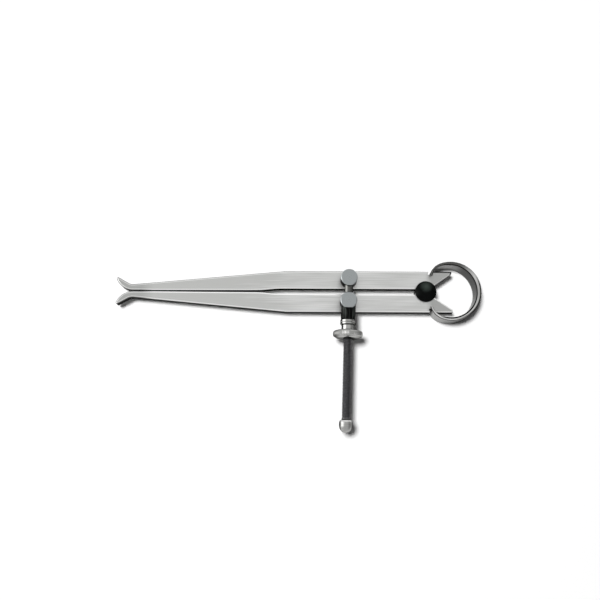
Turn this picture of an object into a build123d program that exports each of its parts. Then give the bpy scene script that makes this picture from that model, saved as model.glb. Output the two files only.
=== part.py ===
from build123d import *

import os
from math import asin, atan2, cos, degrees, hypot, radians, sin, tan

# An inside spring caliper with its legs closed, lying flat. +X runs from the measuring feet to the bow
# spring, the adjusting screw points along -Y, and +Z is up. Lengths are in millimetres and angles in
# degrees. The origin is the middle of the tool's bounding box, on the plane that it lies on.
# Distances along the legs are taken from the fulcrum's axis, and distances across them from the
# centreline between the closed legs.

# Legs
leg_length = 150.0  # fulcrum axis to the end of a foot
leg_thickness = 4.5
leg_outer_edge = 10.1  # centreline to the outer edge of the wide part
leg_inner_edge = 1.37  # centreline to the inner edge of the wide part
leg_bevel_width = 0.6  # the bevel along every long edge, measured across the leg's face
leg_bevel_depth = 0.25  # the same bevel, measured down the leg's edge
taper_start = 67.5  # where the outer edge begins to draw in
step_start = 68.6  # where the inner edges begin to close up
step_end = 83.0  # where they have closed up
step_inner_edge = 0.55  # centreline to the inner edge past that step
neck_setback = 7.0  # end of the foot back to the narrowest place
neck_outer_edge = 3.05
neck_inner_edge = 0.3
neck_round = 5.0
foot_heel_radius = 8.8  # the foot's rounded underside
foot_heel_turn = 67.0  # how far that curve turns outwards
foot_nose_radius = 0.65
prong_reach = 12.9  # fulcrum axis to the end of the tail prong
prong_angle = 34.5  # slope of the prong's inner side, which leaves room for the legs to swing
prong_end_slant = 0.2  # how far the prong's inner corner stands back from its outer corner

# Fulcrum: a waisted roller between two domed caps
roller_radius = 3.2
spigot_radius = 1.8
spigot_length = 1.2
cap_radius = 5.1
cap_height = 2.5
cap_side = 0.7  # straight side below the dome
pivot_clearance = 0.05  # radial play of the legs on the roller, and of the posts in the legs
face_clearance = 0.1  # play between flat faces that slide on each other

# Bow spring: a ring of strip, thickest opposite the fulcrum, with a forked end in a notch of each leg.
# Each side of the strip is a main arc with a tighter curl at both ends.
spring_centre = 12.0  # fulcrum axis to the centre of the outer main arc
spring_outer_radius = 14.5
spring_inner_radius = 12.95
spring_swell = 0.7  # centre of the outer main arc back to that of the inner one
spring_width = 10.0
curl_start_angle = 110.0  # direction that the strip faces, from +X, where the main arcs end
curl_outer_radius = 8.2
curl_inner_radius = 6.36
spring_end_angle = 168.0  # direction that the strip faces at its ends
spring_edge_round = 0.35
fork_depth = 0.9  # length of the tines that straddle the leg
fork_clearance = 0.15  # between a tine and the leg's face
notch_outer_clearance = 0.8  # room in the notch on the side of the feet
notch_inner_clearance = 0.45  # and on the side of the prong
notch_floor_clearance = 0.2

# Posts: a round head with a cross bore, and a shank that turns in the leg
post_distance = 37.5  # fulcrum axis to the place where the screw crosses the centreline
post_offset = 5.55  # centreline to a post's axis
post_head_radius = 4.0
post_head_height = 7.0
post_head_bevel = 0.35
post_shank_radius = 2.2
post_rivet_radius = 2.9
post_rivet_height = 0.7
post_rivet_bevel = 0.3
washer_radius = 3.7
washer_thickness = 0.8

# Adjusting screw, with its pin and its end stop. Lengths along it start where it crosses the centreline.
screw_lean = 1.7  # how far its free end leans towards the feet, from square to the closed legs
screw_radius = 2.1
screw_reach = 61.8  # centreline to the end of the thread
screw_neck_radius = 2.0
screw_neck_reach = 12.0  # centreline to the start of the thread
screw_tail = 3.0  # how far the plain end runs past the upper post's axis
screw_bore_clearance = 0.22  # radial, in the pieces that slide along the screw while its lean changes
seat_clearance = 0.02  # radial, between pieces that are fixed together
pin_radius = 0.6
pin_inset = 0.1  # how far the pin's ends stand below the post's round side
stop_radius = 3.15
stop_length = 6.0
stop_shoulder_radius = 2.2  # the flat shoulder that the thread ends on
stop_shoulder_height = 1.4  # along the screw, of the round above the straight side
stop_side = 1.2  # straight side between that round and the rounded end
stop_spigot_radius = 1.4
stop_spigot_length = 3.5

# Thrust sleeve and adjusting nut, stacked outwards along the screw from the lower post
sleeve_radius = 3.55
sleeve_length = 9.1  # lower post's axis to the sleeve's end
sleeve_leg_clearance = 0.2  # the sleeve passes this far above the leg
nut_collar_radius = 3.7
nut_collar_length = 2.5
nut_collar_bevel = 0.3
nut_neck_radius = 3.05
nut_neck_length = 2.5
nut_disc_radius = 7.0
nut_disc_thickness = 2.9  # at the rim
nut_disc_round = 1.0
nut_disc_inner_rise = 0.45  # how far the disc's middle stands out past the rim, towards the neck
nut_disc_outer_rise = 0.85  # and on the side of the end stop

cut_overrun = 5.0  # how far a cut runs past the solid that it opens
ellipse_share = 0.55  # handle length, as a share of the radius, of a curve like a quarter ellipse

# Places worked out from the sizes above
fulcrum_x = (leg_length - spring_centre - spring_outer_radius) / 2
fulcrum_y = ((screw_reach + stop_length) * cos(radians(screw_lean)) - spring_outer_radius) / 2
leg_mid_z = spring_width / 2
leg_top_z = leg_mid_z + leg_thickness / 2
leg_base_z = leg_mid_z - leg_thickness / 2
screw_x = fulcrum_x - post_distance
screw_z = leg_top_z + sleeve_leg_clearance + sleeve_radius
screw_way = (sin(radians(screw_lean)), cos(radians(screw_lean)), 0)
post_shift = post_offset * tan(radians(screw_lean))  # the posts stand on the leaning screw's line
post_reach = post_offset / cos(radians(screw_lean))

centre_plane = Plane(origin=(fulcrum_x, fulcrum_y, leg_mid_z), z_dir=(0, 1, 0))
leg_mid_plane = Plane(origin=(fulcrum_x, fulcrum_y, leg_mid_z))
leg_base_plane = Plane(origin=(fulcrum_x, fulcrum_y, leg_base_z))
spring_plane = Plane(origin=(fulcrum_x + spring_centre, fulcrum_y, 0))
screw_plane = Plane(origin=(screw_x, fulcrum_y, screw_z), x_dir=(screw_way[1], -screw_way[0], 0))
screw_axis = Axis((screw_x, fulcrum_y, screw_z), screw_way)


def upright_plane(x, y, z):
    """A plane for turned profiles: its own x is the radius and its own y points up."""
    return Plane(origin=(x, y, z), x_dir=(1, 0, 0), z_dir=(0, -1, 0))


def polar(radius, angle, centre=(0, 0)):
    """A point at a radius and an angle round a centre."""
    return (centre[0] + radius * cos(radians(angle)), centre[1] + radius * sin(radians(angle)))


def profile_of(plane, points):
    """A flat face with straight sides, on a plane."""
    with BuildSketch(plane) as profile:
        with BuildLine():
            Polyline(*points, close=True)
        make_face()
    return profile.sketch


os.makedirs("parts", exist_ok=True)

# Shape of the bow spring, from the ring's centre: where the curls' centres lie, and the root and the end
# of the upper fork. The strip's two sides face the same way wherever one arc runs into the next.
outer_curl_centre = polar(spring_outer_radius - curl_outer_radius, curl_start_angle)
inner_main_centre = (-spring_swell, 0)
inner_curl_centre = polar(spring_inner_radius - curl_inner_radius, curl_start_angle, inner_main_centre)
outer_end = polar(curl_outer_radius, spring_end_angle, outer_curl_centre)
inner_end = polar(curl_inner_radius, spring_end_angle, inner_curl_centre)
end_thickness = hypot(outer_end[0] - inner_end[0], outer_end[1] - inner_end[1])
curl_mid_radius = curl_outer_radius - end_thickness / 2
fork_root_angle = spring_end_angle - degrees(fork_depth / curl_mid_radius)
fork_root = polar(curl_mid_radius, fork_root_angle, outer_curl_centre)

# Blank of both legs: a flat steel blade with an outward foot at one end and a tail prong at the other. The
# foot's nose is a small circle inside the large one of the heel, and the outer edge runs tangent to it.
nose_centre = (
    foot_nose_radius - leg_length,
    neck_inner_edge
    + foot_heel_radius
    - (foot_heel_radius - foot_nose_radius) * cos(radians(foot_heel_turn)),
)
heel_centre = (
    nose_centre[0] + (foot_heel_radius - foot_nose_radius) * sin(radians(foot_heel_turn)),
    neck_inner_edge + foot_heel_radius,
)
neck_corner = (neck_setback - leg_length, neck_outer_edge)
neck_to_nose = (nose_centre[0] - neck_corner[0], nose_centre[1] - neck_corner[1])
foot_edge_angle = degrees(
    atan2(neck_to_nose[1], neck_to_nose[0]) - asin(foot_nose_radius / hypot(*neck_to_nose))
)
nose_start_angle = foot_edge_angle - 90
heel_start_angle = 270 - foot_heel_turn
step_middle = (step_start + step_end) / 2
prong_inner_x = prong_reach - prong_end_slant
crotch = (leg_inner_edge / tan(radians(prong_angle)), leg_inner_edge)

notch_floor = polar(
    notch_floor_clearance, fork_root_angle + 90, (spring_centre + fork_root[0], fork_root[1])
)
notch_corner = polar(end_thickness / 2 + notch_outer_clearance, fork_root_angle, notch_floor)

with BuildPart() as leg_blank:
    with BuildSketch(leg_base_plane) as leg_outline:
        with BuildLine():
            nose = CenterArc(
                nose_centre, foot_nose_radius, nose_start_angle, heel_start_angle - nose_start_angle
            )
            heel = CenterArc(heel_centre, foot_heel_radius, heel_start_angle, foot_heel_turn)
            Line(heel @ 1, (-step_end, step_inner_edge))
            Bezier(
                (-step_end, step_inner_edge),
                (-step_middle, step_inner_edge),
                (-step_middle, leg_inner_edge),
                (-step_start, leg_inner_edge),
            )
            Polyline(
                (-step_start, leg_inner_edge),
                crotch,
                (prong_inner_x, prong_inner_x * tan(radians(prong_angle))),
                (prong_reach, leg_outer_edge),
                (-taper_start, leg_outer_edge),
                neck_corner,
                nose @ 0,
            )
        make_face()
        fillet(leg_outline.vertices().sort_by_distance(neck_corner)[0], radius=neck_round)
    extrude(amount=leg_thickness)
    for broad_face in leg_blank.faces().filter_by(Axis.Z):
        chamfer(broad_face.edges(), leg_bevel_width, leg_bevel_depth, reference=broad_face)
    with BuildSketch(leg_base_plane):
        Circle(roller_radius + pivot_clearance)
        with Locations(notch_corner):
            Rectangle(
                notch_outer_clearance + end_thickness + notch_inner_clearance,
                leg_outer_edge - notch_floor[1] + cut_overrun,
                rotation=fork_root_angle - 180,
                align=(Align.MIN, Align.MIN),
            )
    extrude(amount=leg_thickness, mode=Mode.SUBTRACT)

# Upper leg: the blank, with the hole for its post on the leaning screw's line.
with BuildPart() as upper_leg:
    add(leg_blank.part)
    with BuildSketch(leg_base_plane):
        with Locations((post_shift - post_distance, post_offset)):
            Circle(post_shank_radius + pivot_clearance)
    extrude(amount=leg_thickness, mode=Mode.SUBTRACT)
upper_leg.part.label = "upper_leg"
export_step(upper_leg.part, "parts/upper_leg.step")

# Lower leg: the blank's mirror image across the centreline, with its post's hole on the same line.
with BuildPart() as lower_leg:
    add(mirror(leg_blank.part, about=centre_plane, mode=Mode.PRIVATE))
    with BuildSketch(leg_base_plane):
        with Locations((-post_shift - post_distance, -post_offset)):
            Circle(post_shank_radius + pivot_clearance)
    extrude(amount=leg_thickness, mode=Mode.SUBTRACT)
lower_leg.part.label = "lower_leg"
export_step(lower_leg.part, "parts/lower_leg.step")

# Fulcrum roller: the legs' round notches bear on its waist, and its spigots carry the caps.
roller_half = leg_thickness / 2 + face_clearance
with BuildPart() as fulcrum_roller:
    with BuildSketch(leg_mid_plane.offset(-roller_half)):
        Circle(roller_radius)
    extrude(amount=2 * roller_half)
    with BuildSketch(leg_mid_plane.offset(-roller_half - spigot_length)):
        Circle(spigot_radius)
    extrude(amount=2 * (roller_half + spigot_length))
fulcrum_roller.part.label = "fulcrum_roller"
export_step(fulcrum_roller.part, "parts/fulcrum_roller.step")

# Upper cap: a low dome with a blind hole for the spigot, turned about the fulcrum's axis. The dome's
# radius follows from the cap's radius and the dome's rise.
dome_rise = cap_height - cap_side
dome_radius = (cap_radius**2 + dome_rise**2) / (2 * dome_rise)
dome_half_angle = degrees(asin(cap_radius / dome_radius))
with BuildPart() as fulcrum_cap_top:
    with BuildSketch(upright_plane(fulcrum_x, fulcrum_y, leg_top_z + face_clearance)):
        with BuildLine():
            dome = CenterArc(
                (0, cap_height - dome_radius), dome_radius, 90 - dome_half_angle, dome_half_angle
            )
            Polyline(
                dome @ 1,
                (0, spigot_length),
                (spigot_radius, spigot_length),
                (spigot_radius, 0),
                (cap_radius, 0),
                dome @ 0,
            )
        make_face()
    revolve(axis=Axis((fulcrum_x, fulcrum_y, 0), (0, 0, 1)))
fulcrum_cap_top.part.label = "fulcrum_cap_top"
export_step(fulcrum_cap_top.part, "parts/fulcrum_cap_top.step")

# Lower cap: the same dome on the underside.
with BuildPart() as fulcrum_cap_bottom:
    add(mirror(fulcrum_cap_top.part, about=leg_mid_plane, mode=Mode.PRIVATE))
fulcrum_cap_bottom.part.label = "fulcrum_cap_bottom"
export_step(fulcrum_cap_bottom.part, "parts/fulcrum_cap_bottom.step")

# Bow spring: strip rolled into an open ring. Each end has a slot that straddles its leg, and the slot's
# root sits in the leg's notch.
fork_half_height = leg_thickness / 2 + fork_clearance
curl_turn = spring_end_angle - curl_start_angle
with BuildPart() as bow_spring:
    with BuildSketch(spring_plane):
        with BuildLine():
            side_ends = []
            for main_centre, main_radius, curl_centre, curl_radius in (
                ((0, 0), spring_outer_radius, outer_curl_centre, curl_outer_radius),
                (inner_main_centre, spring_inner_radius, inner_curl_centre, curl_inner_radius),
            ):
                CenterArc(main_centre, main_radius, -curl_start_angle, 2 * curl_start_angle)
                upper_curl = CenterArc(curl_centre, curl_radius, curl_start_angle, curl_turn)
                lower_curl = CenterArc(
                    (curl_centre[0], -curl_centre[1]), curl_radius, -curl_start_angle, -curl_turn
                )
                side_ends.append((upper_curl @ 1, lower_curl @ 1))
            Line(side_ends[0][0], side_ends[1][0])
            Line(side_ends[0][1], side_ends[1][1])
        make_face()
    extrude(amount=spring_width)
    fillet(bow_spring.edges().filter_by(GeomType.CIRCLE), radius=spring_edge_round)
    for side in (1, -1):
        with BuildSketch(spring_plane.offset(leg_mid_z - fork_half_height)):
            with Locations((fork_root[0], side * fork_root[1])):
                Rectangle(
                    2 * end_thickness,
                    fork_depth + end_thickness,
                    rotation=side * (fork_root_angle - 180),
                    align=(Align.CENTER, Align.MAX if side == 1 else Align.MIN),
                )
        extrude(amount=2 * fork_half_height, mode=Mode.SUBTRACT)
bow_spring.part.label = "bow_spring"
export_step(bow_spring.part, "parts/bow_spring.step")

# Posts: turned studs. The shank turns in the leg's hole and is riveted over a washer below the leg.
washer_top = -leg_thickness - face_clearance
rivet_top = washer_top - washer_thickness
rivet_end = rivet_top - post_rivet_height
head_top = face_clearance + post_head_height
post_profile_points = (
    (0, rivet_end),
    (post_rivet_radius - post_rivet_bevel, rivet_end),
    (post_rivet_radius, rivet_end + post_rivet_bevel),
    (post_rivet_radius, rivet_top),
    (post_shank_radius, rivet_top),
    (post_shank_radius, face_clearance),
    (post_head_radius, face_clearance),
    (post_head_radius, head_top - post_head_bevel),
    (post_head_radius - post_head_bevel, head_top),
    (0, head_top),
)
washer_profile_points = (
    (post_shank_radius + seat_clearance, rivet_top),
    (washer_radius, rivet_top),
    (washer_radius, washer_top),
    (post_shank_radius + seat_clearance, washer_top),
)


def post_plane(side):
    """The turning plane of a post, at the top of its leg: side is 1 for the upper leg, -1 for the lower."""
    return upright_plane(screw_x + side * post_shift, fulcrum_y + side * post_offset, leg_top_z)


def post_axis(side):
    """The upright axis that a post is turned about."""
    return Axis((screw_x + side * post_shift, fulcrum_y + side * post_offset, leg_top_z), (0, 0, 1))


def bore_plane(side):
    """The plane through a post's axis, square to the screw, that its cross bore is drilled from."""
    return Plane(
        origin=(screw_x + side * post_shift, fulcrum_y + side * post_offset, screw_z), z_dir=screw_way
    )


pin_plane = Plane(origin=bore_plane(1).origin, z_dir=screw_plane.x_dir)

with BuildPart() as upper_post:
    revolve(profile_of(post_plane(1), post_profile_points), axis=post_axis(1))
    with BuildSketch(bore_plane(1)):
        Circle(screw_neck_radius + seat_clearance)
    extrude(amount=post_head_radius, both=True, mode=Mode.SUBTRACT)
    with BuildSketch(pin_plane):
        Circle(pin_radius + seat_clearance)
    extrude(amount=post_head_radius, both=True, mode=Mode.SUBTRACT)
upper_post.part.label = "upper_post"
export_step(upper_post.part, "parts/upper_post.step")

with BuildPart() as lower_post:
    revolve(profile_of(post_plane(-1), post_profile_points), axis=post_axis(-1))
    with BuildSketch(bore_plane(-1)):
        Circle(screw_radius + screw_bore_clearance)
    extrude(amount=post_head_radius, both=True, mode=Mode.SUBTRACT)
lower_post.part.label = "lower_post"
export_step(lower_post.part, "parts/lower_post.step")

with BuildPart() as upper_post_washer:
    revolve(profile_of(post_plane(1), washer_profile_points), axis=post_axis(1))
upper_post_washer.part.label = "upper_post_washer"
export_step(upper_post_washer.part, "parts/upper_post_washer.step")

with BuildPart() as lower_post_washer:
    revolve(profile_of(post_plane(-1), washer_profile_points), axis=post_axis(-1))
lower_post_washer.part.label = "lower_post_washer"
export_step(lower_post_washer.part, "parts/lower_post_washer.step")

# Adjusting screw: a plain neck that is pinned in the upper post, a long thread, drawn at its outer
# diameter, and a spigot for the end stop.
screw_profile_points = (
    (0, post_reach + screw_tail),
    (screw_neck_radius, post_reach + screw_tail),
    (screw_neck_radius, -screw_neck_reach),
    (screw_radius, -screw_neck_reach),
    (screw_radius, -screw_reach),
    (stop_spigot_radius, -screw_reach),
    (stop_spigot_radius, -screw_reach - stop_spigot_length),
    (0, -screw_reach - stop_spigot_length),
)
with BuildPart() as adjusting_screw:
    revolve(profile_of(screw_plane, screw_profile_points), axis=screw_axis)
    with BuildSketch(pin_plane):
        Circle(pin_radius + seat_clearance)
    extrude(amount=screw_neck_radius, both=True, mode=Mode.SUBTRACT)
adjusting_screw.part.label = "adjusting_screw"
export_step(adjusting_screw.part, "parts/adjusting_screw.step")

# Screw pin: holds the screw in the upper post, crosswise at half the head's height.
with BuildPart() as screw_pin:
    with BuildSketch(pin_plane):
        Circle(pin_radius)
    extrude(amount=post_head_radius - pin_inset, both=True)
screw_pin.part.label = "screw_pin"
export_step(screw_pin.part, "parts/screw_pin.step")

# End stop: an egg-shaped button with a blind hole for the screw's spigot.
stop_side_start = -screw_reach - stop_shoulder_height
stop_curve_start = stop_side_start - stop_side
stop_end = -screw_reach - stop_length
with BuildPart() as screw_end_stop:
    with BuildSketch(screw_plane):
        with BuildLine():
            Bezier(
                (stop_radius, stop_curve_start),
                (stop_radius, stop_curve_start + ellipse_share * (stop_end - stop_curve_start)),
                (ellipse_share * stop_radius, stop_end),
                (0, stop_end),
            )
            Polyline(
                (0, stop_end),
                (0, -screw_reach - stop_spigot_length),
                (stop_spigot_radius, -screw_reach - stop_spigot_length),
                (stop_spigot_radius, -screw_reach),
                (stop_shoulder_radius, -screw_reach),
            )
            Bezier(
                (stop_shoulder_radius, -screw_reach),
                (
                    stop_shoulder_radius + ellipse_share * (stop_radius - stop_shoulder_radius),
                    -screw_reach,
                ),
                (stop_radius, stop_side_start + (1 - ellipse_share) * stop_shoulder_height),
                (stop_radius, stop_side_start),
            )
            Line((stop_radius, stop_side_start), (stop_radius, stop_curve_start))
        make_face()
    revolve(axis=screw_axis)
screw_end_stop.part.label = "screw_end_stop"
export_step(screw_end_stop.part, "parts/screw_end_stop.step")

# Thrust sleeve: a short tube on the screw. Its inner end is hollowed to sit round the lower post.
sleeve_bore_radius = screw_radius + screw_bore_clearance
sleeve_end = -post_reach - sleeve_length
sleeve_profile_points = (
    (sleeve_bore_radius, -post_reach),
    (sleeve_radius, -post_reach),
    (sleeve_radius, sleeve_end),
    (sleeve_bore_radius, sleeve_end),
)
with BuildPart() as thrust_sleeve:
    revolve(profile_of(screw_plane, sleeve_profile_points), axis=screw_axis)
    with BuildSketch(screw_plane):
        with Locations((0, -post_reach)):
            Circle(post_head_radius + seat_clearance)
    extrude(amount=sleeve_radius, both=True, mode=Mode.SUBTRACT)
thrust_sleeve.part.label = "thrust_sleeve"
export_step(thrust_sleeve.part, "parts/thrust_sleeve.step")

# Adjusting nut: turned in one piece, with a collar against the sleeve, a neck and a wide finger disc whose
# sides slope up to its middle.
collar_start = sleeve_end - face_clearance
collar_end = collar_start - nut_collar_length
neck_end = collar_end - nut_neck_length
disc_start = neck_end - nut_disc_inner_rise
disc_end = disc_start - nut_disc_thickness
nut_end = disc_end - nut_disc_outer_rise
nut_profile_points = (
    (sleeve_bore_radius, collar_start),
    (nut_collar_radius - nut_collar_bevel, collar_start),
    (nut_collar_radius, collar_start - nut_collar_bevel),
    (nut_collar_radius, collar_end + nut_collar_bevel),
    (nut_collar_radius - nut_collar_bevel, collar_end),
    (nut_neck_radius, collar_end),
    (nut_neck_radius, neck_end),
    (nut_disc_radius, disc_start),
    (nut_disc_radius, disc_end),
    (nut_neck_radius, nut_end),
    (sleeve_bore_radius, nut_end),
)
with BuildPart() as adjusting_nut:
    revolve(profile_of(screw_plane, nut_profile_points), axis=screw_axis)
    disc_rims = adjusting_nut.edges().filter_by(GeomType.CIRCLE).sort_by(SortBy.RADIUS)[-2:]
    fillet(disc_rims, radius=nut_disc_round)
adjusting_nut.part.label = "adjusting_nut"
export_step(adjusting_nut.part, "parts/adjusting_nut.step")
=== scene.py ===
from math import cos, pi, radians, sin

import bmesh
import bpy
import numpy as np
from mathutils import Matrix, Vector


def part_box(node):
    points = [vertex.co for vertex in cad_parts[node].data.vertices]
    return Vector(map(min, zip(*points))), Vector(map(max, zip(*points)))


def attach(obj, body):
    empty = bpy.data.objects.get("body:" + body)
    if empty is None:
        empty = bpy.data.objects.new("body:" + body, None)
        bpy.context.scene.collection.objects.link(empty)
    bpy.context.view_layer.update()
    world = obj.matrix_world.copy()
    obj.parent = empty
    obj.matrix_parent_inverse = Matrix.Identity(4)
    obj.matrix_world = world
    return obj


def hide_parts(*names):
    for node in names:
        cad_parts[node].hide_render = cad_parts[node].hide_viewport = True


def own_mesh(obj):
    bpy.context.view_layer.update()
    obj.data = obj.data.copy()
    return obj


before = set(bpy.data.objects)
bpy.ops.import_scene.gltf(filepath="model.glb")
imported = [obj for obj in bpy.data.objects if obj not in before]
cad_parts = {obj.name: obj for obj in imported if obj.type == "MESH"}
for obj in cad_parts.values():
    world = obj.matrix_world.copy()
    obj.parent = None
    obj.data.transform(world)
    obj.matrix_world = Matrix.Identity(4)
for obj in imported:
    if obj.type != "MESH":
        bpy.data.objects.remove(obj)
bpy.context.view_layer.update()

# Legs: two flat blades of tool steel, forged and then ground. The broad faces carry fine lines from
# lengthwise grinding, and the bevels are brighter. The faces are darker towards the feet, on the feet
# and on the prongs. The narrow walls are darkened as painted shade, and so are the outer parts of the
# upper leg's and the feet's bevels; the upper prong's bevel carries a painted shadow of the ring.
MM = 0.001  # the frame is in metres, and the tool's sizes are written here in millimetres
OILED_TINT = (0.2, 0.2, 0.2, 1.0)  # of what oiled steel mirrors at a grazing angle
LEVEL_FACING = (0.95, 0.98)  # how squarely a surface faces up or down, from a bevel to a broad face
WALL_FACING = (0.3, 0.6)  # and from a wall to a bevel
LEG_FACE_COLOURS = ((0.63, 0.635, 0.62), (0.83, 0.835, 0.825))
LEG_FACE_TONES = (0.36, 0.64)  # the tones of noise that give those colours
LEG_FACE_ROUGHNESS = (0.34, 0.44)
NOISE_DETAIL, FINE_DETAIL = 2.0, 3.0  # of soft noise, and of noise for scratches and rings
NOISE_ROUGHNESS = 0.55
NOISE_LOW, NOISE_HIGH = 0.3, 0.7  # what most of a noise lies between
LEG_LINES_PER_MM, LEG_LINES_WEIGHT = (0.05, 3.2, 3.2), 0.6
LEG_CLOUDS_PER_MM, LEG_CLOUDS_WEIGHT = (0.035, 0.16, 0.16), 0.4
LEG_SCRATCHES_PER_MM, LEG_SCRATCH_DEPTH = (0.12, 14.0, 14.0), 0.004
LEG_BEVEL_COLOUR = (0.9, 0.905, 0.895)
# painted shade that darkens the legs' narrow walls
LEG_WALL_SHADE_COLOUR = (0.08, 0.08, 0.078)
OUTER_BEVEL_Z = (-0.14, -0.08)  # from the broad face: where the bevel's outer part is full, and its end
OUTER_BEVEL_SHADE_COLOUR = (0.29, 0.29, 0.285)  # painted shade on the upper leg's outer bevel
OUTER_BEVEL_Y = 2.0  # how far past the fulcrum's middle line that colour may start
FOOT_X, FOOT_SHARE = (-76.0, -70.0), 0.8  # where the feet's finish is full, where it ends, and its share
FOOT_FACE_COLOUR = (0.46, 0.465, 0.455)
# painted shade on the outer part of the feet's bevels
FOOT_BEVEL_SHADE_COLOUR = (0.1, 0.1, 0.098)
FEET_TONE_X, FEET_TONE_CHANGE = (-40.0, 0.0), -0.27  # the tone's change towards the feet, full at the first place
PRONG_START = 3.0  # how far past the fulcrum's middle the prong's finish is full
PRONG_FACE_COLOUR, PRONG_SHARE = (0.44, 0.445, 0.435), 0.85
PRONG_BEVEL_SHADOW_COLOUR = (0.02, 0.02, 0.019)  # painted shadow of the ring on the upper prong's bevel
PRONG_BEVEL_SHADOW_REACH = 1.4  # how far that painted shadow runs down the prong's end


def add_node(material, kind, sockets, **settings):
    """Adds a shader node. A socket is given a number or a colour, or is linked to a node's output."""
    new = material.node_tree.nodes.new(kind)
    for name, value in settings.items():
        setattr(new, name, value)
    for socket, value in sockets.items():
        if isinstance(value, bpy.types.NodeSocket):
            material.node_tree.links.new(value, new.inputs[socket])
        else:
            new.inputs[socket].default_value = value
    return new


def new_finish(name, **even_values):
    """A material whose even values, such as Metallic=1.0, are set on its shader's own sockets."""
    material = bpy.data.materials.new(name)
    material.use_nodes = True
    shader = material.node_tree.nodes["Principled BSDF"]
    for socket, value in even_values.items():
        shader.inputs[socket.replace("_", " ")].default_value = value
    return material


def wire(material, **outputs):
    """Links node outputs to the shader's sockets, such as Roughness or Base_Color."""
    shader = material.node_tree.nodes["Principled BSDF"]
    for socket, output in outputs.items():
        material.node_tree.links.new(output, shader.inputs[socket.replace("_", " ")])


def place(material, per_mm):
    """The piece's own coordinates, scaled to so many features per millimetre on each axis."""
    own = add_node(material, "ShaderNodeTexCoord", {}).outputs["Object"]
    sockets = {"Vector": own, "Scale": [k / MM for k in per_mm]}
    return add_node(material, "ShaderNodeMapping", sockets).outputs["Vector"]


def noise(material, vector, detail=NOISE_DETAIL):
    """Soft noise of 0 to 1. Its detail is how many finer layers lie on it."""
    sockets = {"Vector": vector, "Scale": 1.0, "Detail": detail, "Roughness": NOISE_ROUGHNESS}
    return add_node(material, "ShaderNodeTexNoise", sockets).outputs["Fac"]


def spread(material, mask, low, high, mask_from=NOISE_LOW, mask_to=NOISE_HIGH):
    """A mask between two levels, turned evenly into numbers from low to high, and held past them."""
    sockets = {"Value": mask, "From Min": mask_from, "From Max": mask_to, "To Min": low, "To Max": high}
    return add_node(material, "ShaderNodeMapRange", sockets).outputs["Result"]


def fade_in(material, measure, none_to, full_from, share=1.0):
    """A share that is nothing up to one value of a measure and rises evenly to full at another."""
    return spread(material, measure, 0.0, share, none_to, full_from)


def fade_out(material, measure, full_to, none_from, share=1.0):
    """A share that is full up to one value of a measure and falls evenly to nothing at another."""
    return spread(material, measure, share, 0.0, full_to, none_from)


def mix_colours(material, share, low, high):
    """One colour at share 0 and another at share 1. Each is three numbers or a node's output."""
    ends = [c if isinstance(c, bpy.types.NodeSocket) else (*c, 1.0) for c in (low, high)]
    sockets = {0: share, 6: ends[0], 7: ends[1]}
    return add_node(material, "ShaderNodeMix", sockets, data_type="RGBA").outputs[2]


def bump(material, height, depth):
    """Surface relief of so many millimetres over a height of 0 to 1."""
    sockets = {"Strength": 1.0, "Distance": depth * MM, "Height": height}
    return add_node(material, "ShaderNodeBump", sockets).outputs["Normal"]


def math_node(material, operation, *values):
    """One sum on numbers or node outputs."""
    sockets = dict(enumerate(values))
    return add_node(material, "ShaderNodeMath", sockets, operation=operation).outputs["Value"]


def overlap(material, *shares):
    """The product of several shares, which is full only where all of them are."""
    product = shares[0]
    for share in shares[1:]:
        product = math_node(material, "MULTIPLY", product, share)
    return product


def distance_along(material, axis, start=0.0):
    """How far a point lies along an axis past a start, in millimetres, in the piece's own coordinates."""
    own = add_node(material, "ShaderNodeSeparateXYZ", {"Vector": place(material, (1.0, 1.0, 1.0))})
    return math_node(material, "SUBTRACT", own.outputs[axis], float(start))


def facing(material, axis):
    """How squarely the surface faces either way along an axis, 0 to 1, from its own direction."""
    direction = add_node(material, "ShaderNodeTexCoord", {}).outputs["Normal"]
    along = add_node(material, "ShaderNodeSeparateXYZ", {"Vector": direction}).outputs[axis]
    return math_node(material, "ABSOLUTE", along)


def middle(node):
    """The middle of a node's box, in millimetres."""
    low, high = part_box(node)
    return tuple((low + high) / 2 / MM)


def dress(node, material):
    """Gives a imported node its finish."""
    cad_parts[node].material_slots[0].material = material


fulcrum_x, fulcrum_y = middle("fulcrum_cap_top")[:2]
upper_leg_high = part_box("upper_leg")[1] / MM
prong_start = fulcrum_x + PRONG_START

leg_steel = new_finish("leg_steel", Metallic=1.0, Specular_Tint=OILED_TINT)
along_leg, across_leg = (distance_along(leg_steel, axis) for axis in "XY")
# Broad faces: the tone is a sum of lines and clouds, and darker towards the feet.
lines = noise(leg_steel, place(leg_steel, LEG_LINES_PER_MM))
clouds = noise(leg_steel, place(leg_steel, LEG_CLOUDS_PER_MM))
scratches = noise(leg_steel, place(leg_steel, LEG_SCRATCHES_PER_MM), detail=FINE_DETAIL)
clouds = math_node(leg_steel, "MULTIPLY", clouds, LEG_CLOUDS_WEIGHT)
tone = math_node(leg_steel, "MULTIPLY_ADD", lines, LEG_LINES_WEIGHT, clouds)
tone = math_node(leg_steel, "ADD", tone, fade_out(leg_steel, along_leg, *FEET_TONE_X, FEET_TONE_CHANGE))
tone_share = fade_in(leg_steel, tone, *LEG_FACE_TONES)
on_foot = fade_out(leg_steel, along_leg, *FOOT_X, FOOT_SHARE)
on_prong = fade_in(leg_steel, along_leg, fulcrum_x, prong_start, PRONG_SHARE)
face_colour = mix_colours(leg_steel, tone_share, *LEG_FACE_COLOURS)
face_colour = mix_colours(leg_steel, on_foot, face_colour, FOOT_FACE_COLOUR)
face_colour = mix_colours(leg_steel, on_prong, face_colour, PRONG_FACE_COLOUR)
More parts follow.
